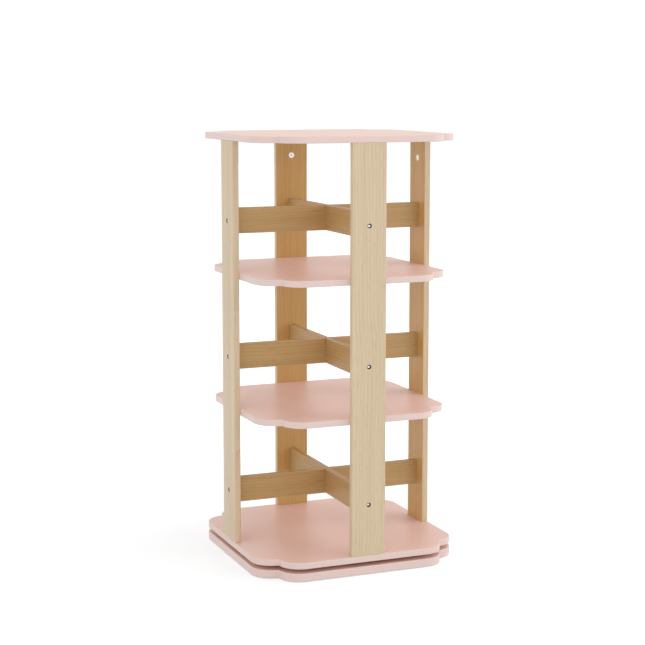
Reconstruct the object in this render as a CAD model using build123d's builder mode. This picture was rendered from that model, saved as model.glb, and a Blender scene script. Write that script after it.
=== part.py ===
from build123d import *
import os

os.makedirs("parts", exist_ok=True)

# Revolving bookcase of three tiers. All sizes are in millimetres.
# Z is up, the floor is Z = 0, and the bookcase turns about the Z axis.

# Boards. The top, bottom and base boards share one outline.
board_side = 400.0  # between opposite straight sides
board_thick = 12.0  # top board and turning bottom board
base_thick = 15.0
shelf_thick = 12.0
corner_round = 40.0  # radius of the two rounds that meet in a notch at each corner
edge_ease = 0.8  # bevel along the edges of boards, posts and rails

# Posts, one at the middle of each side, and the rails between them.
post_width = 66.0
post_thick = 12.0
post_length = 752.0
rail_height = 48.0
rail_thick = 12.0
rail_rise = 95.0  # from a tier's floor to the middle of its rails
halving_clearance = 0.2  # on each side of the notch where two rails cross

# Pads under the base.
pad_diameter = 30.0
pad_thick = 1.0
pad_inset = 60.0  # from the straight sides to the pad's centre

# Turntable: two grooved rings, and between them a ring of balls in a cage.
race_diameter = 160.0  # circle of the balls' centres
race_gap = 1.6  # between the rings
ring_width = 19.2  # radial width of each ring
ring_height = 7.2
ring_lift = 0.8  # from each ring to the board that it isn't fixed to
ball_diameter = 4.0
ball_count = 12
ball_clearance = 0.3  # round each ball, in its grooves and in the cage
cage_thick = 1.0
cage_rim = 0.7  # cage above and below its windows
ring_screw_count = 4
ring_screw_length = 16.0
access_hole_diameter = 14.0

# Countersunk wood screws.
screw_head = 8.0
screw_shank = 4.0
rail_screw_length = 40.0
foot_screw_length = 50.0
foot_screw_spread = 20.0  # each side of the post's centre line

# Cam fittings at the posts' top ends and at the shelves, with two dowels beside each at the top.
cam_diameter = 12.0
cam_reach = 38.0  # from the joint to the cam's centre
cam_skin = 2.4  # wood left behind a cam
bolt_shank = 6.0
bolt_neck = 3.4
bolt_head = 6.0
bolt_head_length = 3.0
dowel_diameter = 6.0
dowel_length = 24.0
dowel_spread = 20.0  # each side of the post's centre line
peg_depth = 8.0  # bolts and dowels go this far into the piece without the cam

# Fits.
wood_fit = 0.1  # round each screw, bolt, dowel and cam in its hole
hole_relief = 0.5  # holes are deeper than what they take by this much
claw_clearance = 0.3  # round the bolt inside the cam's claw

# Heights, from the floor up.
base_bottom = pad_thick
base_top = base_bottom + base_thick
board_bottom = base_top + ring_height + ring_lift
board_top = board_bottom + board_thick
post_top = board_top + post_length
tier_names = ("lower", "middle", "upper")
shelf_names = ("lower", "upper")
tier_clear = (post_length - len(shelf_names) * shelf_thick) / len(tier_names)
tier_floors = [board_top + tier * (tier_clear + shelf_thick) for tier in range(len(tier_names))]
race_height = (base_top + board_bottom) / 2

# Distances from the axis.
post_outer = board_side / 2
post_inner = post_outer - post_thick
post_middle = post_outer - post_thick / 2
race_radius = race_diameter / 2
groove_radius = ball_diameter / 2 + ball_clearance
groove_depth = groove_radius - race_gap / 2
outer_ring_bore = race_radius + race_gap / 2
outer_ring_rim = outer_ring_bore + ring_width
inner_ring_rim = race_radius - race_gap / 2
inner_ring_bore = inner_ring_rim - ring_width
outer_screw_circle = (outer_ring_bore + groove_depth + outer_ring_rim) / 2
inner_screw_circle = (inner_ring_rim - groove_depth + inner_ring_bore) / 2

# The sides, and the turn from the right-hand side to each.
side_turns = {"right": 0, "back": 90, "left": 180, "front": 270}


def outward(turn):
    """Direction from the axis to the middle of a side."""
    return Vector(1, 0, 0).rotate(Axis.Z, turn)


def side_plane(turn, distance, height):
    """Plane that faces outwards at a side's middle, with its X along the side and its Y up."""
    origin = outward(turn) * distance + Vector(0, 0, height)
    return Plane(origin=origin, x_dir=outward(turn + 90), z_dir=outward(turn))


# A cam joint's plane lies on the joint. Its Z points out of the piece that holds the cam,
# and its X points out of the face where the cam shows.
def top_joint(turn):
    """Joint of a post, which holds the cam, and the top board above it."""
    origin = outward(turn) * post_middle + Vector(0, 0, post_top)
    return Plane(origin=origin, x_dir=-outward(turn), z_dir=(0, 0, 1))


def shelf_joint(turn, shelf_bottom):
    """Joint of a shelf, which holds the cam, and the post beside it."""
    origin = outward(turn) * post_inner + Vector(0, 0, shelf_bottom + shelf_thick / 2)
    return Plane(origin=origin, x_dir=(0, 0, -1), z_dir=outward(turn))


def board_outline(side):
    """Face of a board: straight sides, and at each corner two rounds that meet in a notch."""
    edge = side / 2
    straight = edge - 2 * corner_round
    with BuildSketch() as outline:
        with BuildLine():
            for turn in side_turns.values():
                Line(Vector(edge, -straight).rotate(Axis.Z, turn), Vector(edge, straight).rotate(Axis.Z, turn))
                first_centre = Vector(edge - corner_round, straight).rotate(Axis.Z, turn)
                second_centre = Vector(straight, edge - corner_round).rotate(Axis.Z, turn)
                CenterArc(first_centre, corner_round, turn, 90)
                CenterArc(second_centre, corner_round, turn, 90)
        make_face()
    return outline.sketch


def board(side, thick, bottom):
    """Plain board with bevelled edges, before it is drilled."""
    with BuildPart() as blank:
        with BuildSketch(Plane.XY.offset(bottom)):
            add(board_outline(side))
        extrude(amount=thick)
        chamfer(blank.faces().sort_by(Axis.Z)[0].edges(), edge_ease)
        chamfer(blank.faces().sort_by(Axis.Z)[-1].edges(), edge_ease)
    return blank.part


def wood_screw(length):
    """Countersunk screw whose head lies on the XY plane and whose shank points down."""
    head = screw_head / 2
    shank = screw_shank / 2
    with BuildPart() as screw:
        with BuildSketch(Plane.XZ):
            with BuildLine():
                Polyline(
                    (0, 0),
                    (head, 0),
                    (shank, shank - head),
                    (shank, -length),
                    (0, -length),
                    close=True,
                )
            make_face()
        revolve(axis=Axis.Z)
    return screw.part


def cam_bolt():
    """Bolt of a cam joint: threaded above the joint, and with its head below at the cam's centre."""
    shank = bolt_shank / 2
    neck = bolt_neck / 2
    head = bolt_head / 2
    shank_end = -(cam_reach - cam_diameter / 2 - claw_clearance)
    head_top = -(cam_reach - bolt_head_length / 2)
    head_end = head_top - bolt_head_length
    with BuildPart() as bolt:
        with BuildSketch(Plane.XZ):
            with BuildLine():
                Polyline(
                    (0, peg_depth),
                    (shank, peg_depth),
                    (shank, shank_end),
                    (neck, shank_end),
                    (neck, head_top),
                    (head, head_top),
                    (head, head_end),
                    (0, head_end),
                    close=True,
                )
            make_face()
        revolve(axis=Axis.Z)
    return bolt.part


def cam_lock(thick):
    """Cam of a joint, flush with the face of a piece of this thickness, with a claw for the bolt."""
    face = Plane(origin=(thick / 2, 0, -cam_reach), x_dir=(0, 1, 0), z_dir=(1, 0, 0))
    neck_slot = bolt_neck + 2 * claw_clearance
    head_slot = bolt_head + 2 * claw_clearance
    with BuildPart() as lock:
        with BuildSketch(face):
            Circle(cam_diameter / 2)
        extrude(amount=-(thick - cam_skin))
        with BuildSketch(face.offset(-(thick - head_slot) / 2)):
            Rectangle(head_slot, bolt_head_length + 2 * claw_clearance)
            Rectangle(neck_slot, cam_diameter, align=(Align.CENTER, Align.MIN))
        extrude(amount=-thick, mode=Mode.SUBTRACT)
    return lock.part


def dowel_pair():
    """The two dowels beside the bolt of a joint."""
    with BuildPart() as dowels:
        with Locations((0, -dowel_spread, peg_depth), (0, dowel_spread, peg_depth)):
            Cylinder(dowel_diameter / 2, dowel_length, align=(Align.CENTER, Align.CENTER, Align.MAX))
    return dowels.part


def drill_cam_piece(joint, thick):
    """Drill a piece for its cam and the bolt that the cam draws in."""
    with Locations(joint):
        Hole(bolt_shank / 2 + wood_fit, depth=cam_reach)
    cam_face = joint.from_local_coords(Vector(thick / 2, 0, -cam_reach))
    with Locations(Plane(origin=cam_face, z_dir=joint.x_dir)):
        Hole(cam_diameter / 2 + wood_fit, depth=thick - cam_skin + wood_fit)


def drill_bolt_piece(joint):
    """Drill the piece that takes the bolt's thread."""
    with Locations(-joint):
        Hole(bolt_shank / 2 + wood_fit, depth=peg_depth + hole_relief)


def drill_dowels(joint, depth):
    """Drill the two dowel holes into the piece below a joint's plane."""
    with Locations(joint):
        with Locations((0, -dowel_spread, 0), (0, dowel_spread, 0)):
            Hole(dowel_diameter / 2 + wood_fit, depth=depth + hole_relief)


def drill_screw(depth):
    """Drill a countersunk hole at the active locations."""
    CounterSinkHole(
        screw_shank / 2 + wood_fit,
        screw_head / 2 + wood_fit,
        depth=depth,
        counter_sink_angle=90,
    )


top_joints = [top_joint(turn) for turn in side_turns.values()]
shelf_bottoms = [floor - shelf_thick for floor in tier_floors[1:]]
shelf_joints = [shelf_joint(turn, bottom) for bottom in shelf_bottoms for turn in side_turns.values()]
rail_levels = [floor + rail_rise for floor in tier_floors]

# Base board, still on the floor, with one hole through which the inner ring's screws are reached.
with BuildPart() as base_board:
    add(board(board_side, base_thick, base_bottom))
    with Locations((0, 0, base_top)):
        with PolarLocations(outer_screw_circle, ring_screw_count):
            Hole(screw_shank / 2 + wood_fit, depth=ring_screw_length - ring_height + hole_relief)
        with Locations((inner_screw_circle, 0, 0)):
            Hole(access_hole_diameter / 2)
base_board.part.label = "base_board"
export_step(base_board.part, "parts/base_board.step")

# Thin round pads under the base board's corners.
with BuildPart() as base_pads:
    with BuildSketch():
        with GridLocations(board_side - 2 * pad_inset, board_side - 2 * pad_inset, 2, 2):
            Circle(pad_diameter / 2)
    extrude(amount=pad_thick)
base_pads.part.label = "base_pads"
export_step(base_pads.part, "parts/base_pads.step")

# Outer ring of the turntable, screwed down on the base, with the balls' groove in its bore.
with BuildPart() as turntable_outer_ring:
    with BuildSketch(Plane.XZ):
        with Locations((outer_ring_bore, base_top)):
            Rectangle(ring_width, ring_height, align=(Align.MIN, Align.MIN))
        with Locations((race_radius, race_height)):
            Circle(groove_radius, mode=Mode.SUBTRACT)
    revolve(axis=Axis.Z)
    with Locations((0, 0, base_top + ring_height)):
        with PolarLocations(outer_screw_circle, ring_screw_count):
            drill_screw(ring_height)
turntable_outer_ring.part.label = "turntable_outer_ring"
export_step(turntable_outer_ring.part, "parts/turntable_outer_ring.step")

with BuildPart() as outer_ring_screws:
    with Locations((0, 0, base_top + ring_height)):
        with PolarLocations(outer_screw_circle, ring_screw_count):
            add(wood_screw(ring_screw_length))
outer_ring_screws.part.label = "outer_ring_screws"
export_step(outer_ring_screws.part, "parts/outer_ring_screws.step")

# Inner ring, screwed to the underside of the bottom board, with a groove round its rim.
with BuildPart() as turntable_inner_ring:
    with BuildSketch(Plane.XZ):
        with Locations((inner_ring_bore, board_bottom)):
            Rectangle(ring_width, ring_height, align=(Align.MIN, Align.MAX))
        with Locations((race_radius, race_height)):
            Circle(groove_radius, mode=Mode.SUBTRACT)
    revolve(axis=Axis.Z)
    with Locations(Plane.XY.offset(board_bottom - ring_height).rotated((180, 0, 0))):
        with PolarLocations(inner_screw_circle, ring_screw_count):
            drill_screw(ring_height)
turntable_inner_ring.part.label = "turntable_inner_ring"
export_step(turntable_inner_ring.part, "parts/turntable_inner_ring.step")

with BuildPart() as inner_ring_screws:
    with Locations(Plane.XY.offset(board_bottom - ring_height).rotated((180, 0, 0))):
        with PolarLocations(inner_screw_circle, ring_screw_count):
            add(wood_screw(ring_screw_length))
inner_ring_screws.part.label = "inner_ring_screws"
export_step(inner_ring_screws.part, "parts/inner_ring_screws.step")

# Cage: a thin band between the rings, with a square window for each ball.
window_side = ball_diameter + 2 * ball_clearance
with BuildPart() as ball_cage:
    with BuildSketch(Plane.XY.offset(race_height - window_side / 2 - cage_rim)):
        Circle(race_radius + cage_thick / 2)
        Circle(race_radius - cage_thick / 2, mode=Mode.SUBTRACT)
    extrude(amount=window_side + 2 * cage_rim)
    with Locations((0, 0, race_height)):
        with PolarLocations(race_radius, ball_count):
            Box(2 * cage_thick, window_side, window_side, mode=Mode.SUBTRACT)
ball_cage.part.label = "ball_cage"
export_step(ball_cage.part, "parts/ball_cage.step")

with BuildPart() as bearing_balls:
    with Locations((0, 0, race_height)):
        with PolarLocations(race_radius, ball_count):
            Sphere(ball_diameter / 2)
bearing_balls.part.label = "bearing_balls"
export_step(bearing_balls.part, "parts/bearing_balls.step")

# Bottom board, which turns: countersunk from below for the posts' screws.
with BuildPart() as bottom_board:
    add(board(board_side, board_thick, board_bottom))
    with Locations(Plane.XY.offset(board_bottom).rotated((180, 0, 0))):
        with PolarLocations(inner_screw_circle, ring_screw_count):
            Hole(screw_shank / 2 + wood_fit, depth=ring_screw_length - ring_height + hole_relief)
        with PolarLocations(post_middle, len(side_turns)):
            with Locations((0, -foot_screw_spread), (0, foot_screw_spread)):
                drill_screw(board_thick)
bottom_board.part.label = "bottom_board"
export_step(bottom_board.part, "parts/bottom_board.step")

with BuildPart() as foot_screws:
    with Locations(Plane.XY.offset(board_bottom).rotated((180, 0, 0))):
        with PolarLocations(post_middle, len(side_turns)):
            with Locations((0, -foot_screw_spread), (0, foot_screw_spread)):
                add(wood_screw(foot_screw_length))
foot_screws.part.label = "foot_screws"
export_step(foot_screws.part, "parts/foot_screws.step")

# Shelves, butted between the posts, with their cams in the underside.
for shelf_name, shelf_bottom in zip(shelf_names, shelf_bottoms):
    with BuildPart() as shelf:
        add(board(2 * post_inner, shelf_thick, shelf_bottom))
        for turn in side_turns.values():
            drill_cam_piece(shelf_joint(turn, shelf_bottom), shelf_thick)
    shelf.part.label = f"shelf_{shelf_name}"
    export_step(shelf.part, f"parts/shelf_{shelf_name}.step")

# Top board, drilled from below.
with BuildPart() as top_board:
    add(board(board_side, board_thick, post_top))
    for joint in top_joints:
        drill_bolt_piece(joint)
        drill_dowels(-joint, peg_depth)
top_board.part.label = "top_board"
export_step(top_board.part, "parts/top_board.step")

# Posts, flush with the straight sides of the top and bottom boards.
for side_name, turn in side_turns.items():
    with BuildPart() as post:
        with BuildSketch(side_plane(turn, post_outer, board_top)):
            Rectangle(post_width, post_length, align=(Align.CENTER, Align.MIN))
        extrude(amount=-post_thick)
        chamfer(post.edges().filter_by(Axis.Z), edge_ease)
        for level in rail_levels:
            with Locations(side_plane(turn, post_outer, level)):
                drill_screw(post_thick)
        for bottom in shelf_bottoms:
            drill_bolt_piece(shelf_joint(turn, bottom))
        drill_cam_piece(top_joint(turn), post_thick)
        drill_dowels(top_joint(turn), dowel_length - peg_depth)
        with Locations(-top_joint(turn).offset(-post_length)):
            with Locations((0, -foot_screw_spread), (0, foot_screw_spread)):
                Hole(
                    screw_shank / 2 + wood_fit,
                    depth=foot_screw_length - board_thick + hole_relief,
                )
    post.part.label = f"post_{side_name}"
    export_step(post.part, f"parts/post_{side_name}.step")

# Rails: in each tier one runs left-right and one front-back, halved into each other at the axis.
for tier_name, level in zip(tier_names, rail_levels):
    for rail_name, turn in (("across", 0), ("deep", 90)):
        # The rail across is notched from above, and the other one from below.
        notch_side = 1 if rail_name == "across" else -1
        with BuildPart() as rail:
            with BuildSketch(side_plane(turn, -post_inner, level)):
                Rectangle(rail_thick, rail_height)
            extrude(amount=2 * post_inner)
            chamfer(rail.edges().filter_by(lambda edge: edge.length > post_inner), edge_ease)
            with BuildSketch(side_plane(turn, -rail_thick / 2 - halving_clearance, level)):
                with Locations((0, notch_side * rail_height / 2)):
                    Rectangle(2 * rail_thick, rail_height)
            extrude(amount=rail_thick + 2 * halving_clearance, mode=Mode.SUBTRACT)
            for end_turn in (turn, turn + 180):
                with Locations(side_plane(end_turn, post_inner, level)):
                    Hole(
                        screw_shank / 2 + wood_fit,
                        depth=rail_screw_length - post_thick + hole_relief,
                    )
        rail.part.label = f"rail_{tier_name}_{rail_name}"
        export_step(rail.part, f"parts/rail_{tier_name}_{rail_name}.step")

# Screws through the posts into the rails' ends.
with BuildPart() as rail_screws:
    for level in rail_levels:
        for turn in side_turns.values():
            with Locations(side_plane(turn, post_outer, level)):
                add(wood_screw(rail_screw_length))
rail_screws.part.label = "rail_screws"
export_step(rail_screws.part, "parts/rail_screws.step")

# Cams and bolts, at the posts' top ends and at the shelves.
for place, joints, thick in (("top", top_joints, post_thick), ("shelf", shelf_joints, shelf_thick)):
    with BuildPart() as cam_locks:
        with Locations(*joints):
            add(cam_lock(thick))
    cam_locks.part.label = f"{place}_cam_locks"
    export_step(cam_locks.part, f"parts/{place}_cam_locks.step")

    with BuildPart() as cam_bolts:
        with Locations(*joints):
            add(cam_bolt())
    cam_bolts.part.label = f"{place}_cam_bolts"
    export_step(cam_bolts.part, f"parts/{place}_cam_bolts.step")

# Dowels between the posts and the top board.
with BuildPart() as top_dowels:
    with Locations(*top_joints):
        add(dowel_pair())
top_dowels.part.label = "top_dowels"
export_step(top_dowels.part, "parts/top_dowels.step")
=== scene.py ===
"""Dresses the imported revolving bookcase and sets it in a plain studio.

Lengths are in metres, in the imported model's frame. Z runs up the turning axis, -Y to the front post and
+X to the right-hand post.
"""

import logging
import math
from collections.abc import Iterable
from dataclasses import InitVar, dataclass, field
from enum import Enum
from typing import Any

import bmesh
import bpy
from bmesh.types import BMEdge, BMesh, BMFace, BMVert
from mathutils import Matrix, Vector

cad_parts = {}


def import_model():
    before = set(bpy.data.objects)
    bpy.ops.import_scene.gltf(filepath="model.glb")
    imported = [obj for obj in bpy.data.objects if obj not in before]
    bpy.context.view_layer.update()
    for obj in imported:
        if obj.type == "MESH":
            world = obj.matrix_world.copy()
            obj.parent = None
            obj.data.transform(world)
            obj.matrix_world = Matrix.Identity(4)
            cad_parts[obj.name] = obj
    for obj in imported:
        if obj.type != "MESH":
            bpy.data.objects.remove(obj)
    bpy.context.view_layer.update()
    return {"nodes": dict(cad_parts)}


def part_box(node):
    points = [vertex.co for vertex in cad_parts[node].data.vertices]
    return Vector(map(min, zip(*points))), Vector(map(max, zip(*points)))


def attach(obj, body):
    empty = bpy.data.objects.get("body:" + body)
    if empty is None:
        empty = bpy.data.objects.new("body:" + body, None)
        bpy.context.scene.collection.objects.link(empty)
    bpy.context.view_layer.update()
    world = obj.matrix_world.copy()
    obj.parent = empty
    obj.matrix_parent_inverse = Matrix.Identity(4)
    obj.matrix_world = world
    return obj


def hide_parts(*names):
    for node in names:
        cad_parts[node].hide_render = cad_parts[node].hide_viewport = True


log = logging.getLogger("bookcase")

MM = 0.001
# Sockets of a Mix node that blends colours.
MIX_A, MIX_B, MIX_RESULT = 6, 7, 2
# A noise hardly ever leaves this range.
NOISE_LOW, NOISE_HIGH = 0.3, 0.7
# How much finer noise lies on a noise.
SMOOTH, BROKEN, RAGGED = 0.0, 2.0, 4.0
# A Wave texture of scale 1 has its rings this far apart.
WAVE_SPACING = math.tau / 20

# Points nearer to each other than this are one.
TOUCHING = MM / 1000
# Faces that meet at more than this make a square edge.
SQUARE_FROM = math.radians(60)
# A cutter that passes right through a wall is this many times as long as the wall is thick.
THROUGH = 3
# A cutter that goes in from one face stands out of it by this much.
OVERRUN = 1.0 * MM
# Attributes that are 1 on a board's sawn rim and on an edge that is rounded over, and the place in the log.
LIT_RIM, ARRIS, GRAIN = "lit_rim", "arris", "grain"

Settings = dict[str | int, Any]
Links = dict[str | int, bpy.types.NodeSocket | None]


class Body(Enum):
    """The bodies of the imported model."""

    STAND = "stand"
    BALL_SET = "ball_set"
    CARCASS = "carcass"


class Slot(Enum):
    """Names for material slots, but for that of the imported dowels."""

    BOARD = "painted_board"
    POST = "post_wood"
    RAIL = "rail_wood"
    SCREW = "screw_steel"
    CAM = "cam_metal"
    RING = "turntable_metal"
    BALL = "ball_steel"
    CAGE = "cage_plastic"
    PAD = "pad_foam"


class Side(Enum):
    """The four sides, by their turn from the right-hand side in degrees."""

    RIGHT = 0
    BACK = 90
    LEFT = 180
    FRONT = 270

    @property
    def turned(self) -> Matrix:
        """The turn that takes a piece made at the right-hand side to this one."""
        return Matrix.Rotation(math.radians(self.value), 4, "Z")


class Facing(Enum):
    """The way a face looks: the degrees that a fitting in it is tipped about Y and rolled about its own Z."""

    OUTWARD = (90, 90)
    INWARD = (-90, -90)
    UP = (0, -90)
    DOWN = (180, 90)

    @property
    def tipped(self) -> Matrix:
        """The turn that takes a fitting with its head up to this face, its Y up or away from the axis."""
        tip, roll = (math.radians(turn) for turn in self.value)
        return Matrix.Rotation(tip, 4, "Y") @ Matrix.Rotation(roll, 4, "Z")


class Tier(Enum):
    """The three tiers, from the bottom up."""

    LOWER = "lower"
    MIDDLE = "middle"
    UPPER = "upper"


class Ring(Enum):
    """The turntable's two rings, by the way that each lies from the balls."""

    OUTER = 1
    INNER = -1


class PlacedBy(Enum):
    """What tells a finish where each point lies: a node's type, its settings and its output."""

    FRAME = ("ShaderNodeTexCoord", {}, "Object")
    LOG = ("ShaderNodeAttribute", {"attribute_name": GRAIN}, "Vector")


# Material nodes


def linear(code: str) -> tuple[float, float, float, float]:
    """Turn an sRGB hex value into linear colour.

    Args:
        code: "#" and six hex digits.

    Returns:
        Red, green, blue and an alpha of 1.
    """
    channels = [int(code[place : place + 2], 16) / 255 for place in (1, 3, 5)]
    # The sRGB curve is a straight line near black and a power above it.
    red, green, blue = (c / 12.92 if c <= 0.04045 else ((c + 0.055) / 1.055) ** 2.4 for c in channels)
    return red, green, blue, 1.0


def add_node(
    tree: bpy.types.NodeTree,
    kind: str,
    settings: Settings | None = None,
    links: Links | None = None,
    output: str | int = 0,
) -> bpy.types.NodeSocket | None:
    """Add a node with its settings and links.

    Args:
        tree: Node tree that takes the node.
        kind: Blender's name for the node's type.
        settings: Values by property name, or by the name or number of an input.
        links: Output sockets by the name or number of the input that they feed; None feeds nothing.
        output: Name or number of the output that is of use.

    Returns:
        That output, or None from a node that has no outputs.
    """
    node = tree.nodes.new(kind)
    for name, value in (settings or {}).items():
        if isinstance(name, str) and hasattr(node, name):
            setattr(node, name, value)
        else:
            node.inputs[name].default_value = value
    for name, source in (links or {}).items():
        if source is not None:
            tree.links.new(source, node.inputs[name])
    return node.outputs[output] if node.outputs else None


def emptied(owner: bpy.types.Material | bpy.types.World) -> bpy.types.NodeTree:
    """Let a material or world use nodes, and clear those that it comes with.

    Args:
        owner: The material or world.

    Returns:
        Its empty node tree.
    """
    owner.use_nodes = True
    owner.node_tree.nodes.clear()
    return owner.node_tree


# Finishes


class Blend(Enum):
    """How a tint lies on what is under it."""

    COVER = "MIX"
    STAIN = "MULTIPLY"


@dataclass(frozen=True)
class Tint:
    """A colour over a finish's own, with how much of it there is at each point."""

    share: bpy.types.NodeSocket
    colour: str
    blend: Blend = Blend.COVER


@dataclass(frozen=True)
class Pattern:
    """What lies on a surface: tints from the lowest up, its height, and where it has lost its shine."""

    tints: tuple[Tint, ...]
    height: bpy.types.NodeSocket
    dulled: bpy.types.NodeSocket | None = None


@dataclass(frozen=True, kw_only=True)
class Finish:
    """A surface as it leaves the workshop; each kind of finish lays its own pattern on it."""

    name: str
    colour: str
    roughness: float
    dulling: float = 0.0  # how much rougher it is where it has lost its shine
    relief_mm: float
    relief_strength: float = 0.6
    metallic: float = 0.0
    ior: float = 1.5
    placed_by: PlacedBy = PlacedBy.FRAME

    @property
    def material(self) -> bpy.types.Material:
        """The finish as a material, which is made the first time it is asked for."""
        return bpy.data.materials.get(self.name) or self.mix_up()

    def mix_up(self) -> bpy.types.Material:
        """Make the material: one surface shader with the pattern's tints, dull parts and relief.

        Returns:
            The new material.
        """
        material = bpy.data.materials.new(self.name)
        tree = emptied(material)
        kind, settings, output = self.placed_by.value
        pattern = self.pattern(tree, add_node(tree, kind, settings, output=output))
        colour = rough = None
        for tint in pattern.tints:
            colour = add_node(
                tree,
                "ShaderNodeMix",
                {
                    "data_type": "RGBA",
                    "blend_type": tint.blend.value,
                    MIX_A: linear(self.colour),
                    MIX_B: linear(tint.colour),
                },
                {0: tint.share, MIX_A: colour},
                MIX_RESULT,
            )
        if pattern.dulled is not None:
            sums = {"operation": "MULTIPLY_ADD", 1: self.dulling, 2: self.roughness}
            rough = add_node(tree, "ShaderNodeMath", sums, {0: pattern.dulled})
        relief = {"Strength": self.relief_strength, "Distance": self.relief_mm * MM}
        normal = add_node(tree, "ShaderNodeBump", relief, {"Height": pattern.height})
        surface = add_node(
            tree,
            "ShaderNodeBsdfPrincipled",
            {
                "Base Color": linear(self.colour),
                "Roughness": self.roughness,
                "Metallic": self.metallic,
                "IOR": self.ior,
            },
            {"Base Color": colour, "Roughness": rough, "Normal": normal},
        )
        add_node(tree, "ShaderNodeOutputMaterial", links={"Surface": surface})
        return material

    def pattern(self, tree: bpy.types.NodeTree, place: bpy.types.NodeSocket) -> Pattern:
        """Work the pattern out with the material's nodes, from each point's place."""
        raise NotImplementedError


@dataclass(frozen=True, kw_only=True)
class SprayedLacquer(Finish):
    """Tinted satin lacquer, sprayed on fibreboard: even, with a faint orange peel and arrises rubbed thin."""

    clouded: str
    lit_rim: str  # painted light: the upright rim is paler than the tops, because upright faces catch more of the light
    rubbed: str
    cloud_mm: float = 60.0
    scuff_mm: float = 5.0
    peel_mm: float = 3.5

    def pattern(self, tree: bpy.types.NodeTree, place: bpy.types.NodeSocket) -> Pattern:
        """Cloud the colour, paint the upright rims paler as painted light, lighten the rubbed arrises, and
        lay the orange peel over all.

        Args:
            tree: The material's nodes.
            place: Each point's place in the frame.

        Returns:
            The pattern.
        """
        clouds, scuffs, peel = (
            add_node(
                tree, "ShaderNodeTexNoise", {"Scale": 1 / (size * MM), "Detail": detail}, {"Vector": place}
            )
            for size, detail in ((self.cloud_mm, SMOOTH), (self.scuff_mm, RAGGED), (self.peel_mm, SMOOTH))
        )
        lit_rim, arris = (
            add_node(tree, "ShaderNodeAttribute", {"attribute_name": name}, output="Fac")
            for name in (LIT_RIM, ARRIS)
        )
        soft = {"interpolation_type": "SMOOTHSTEP", "From Min": NOISE_LOW, "From Max": NOISE_HIGH}
        cloudy = add_node(tree, "ShaderNodeMapRange", soft, {"Value": clouds})
        worn = add_node(tree, "ShaderNodeMath", {"operation": "MULTIPLY"}, {0: arris, 1: scuffs})
        # The lit rim's paler tint is painted light on the upright faces.
        tints = (Tint(cloudy, self.clouded), Tint(lit_rim, self.lit_rim), Tint(worn, self.rubbed))
        return Pattern(tints, height=peel, dulled=worn)


@dataclass(frozen=True, kw_only=True)
class RawCut(Finish):
    """The wall of a drilled hole or saw cut: matt, brown and fluffy with short fibres."""

    fibre: str
    fibre_mm: float
    roughness: float = 0.85
    relief_mm: float = 0.1

    def pattern(self, tree: bpy.types.NodeTree, place: bpy.types.NodeSocket) -> Pattern:
        """Fleck the cut with its fibres.

        Args:
            tree: The material's nodes.
            place: Each point's place in the frame.

        Returns:
            The pattern.
        """
        fleck = {"Scale": 1 / (self.fibre_mm * MM), "Detail": RAGGED}
        flecks = add_node(tree, "ShaderNodeTexNoise", fleck, {"Vector": place})
        return Pattern((Tint(flecks, self.fibre),), height=flecks)


@dataclass(frozen=True)
class Streak:
    """A pattern drawn out along the grain."""

    width_mm: float
    run_mm: float
    detail: float


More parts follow.
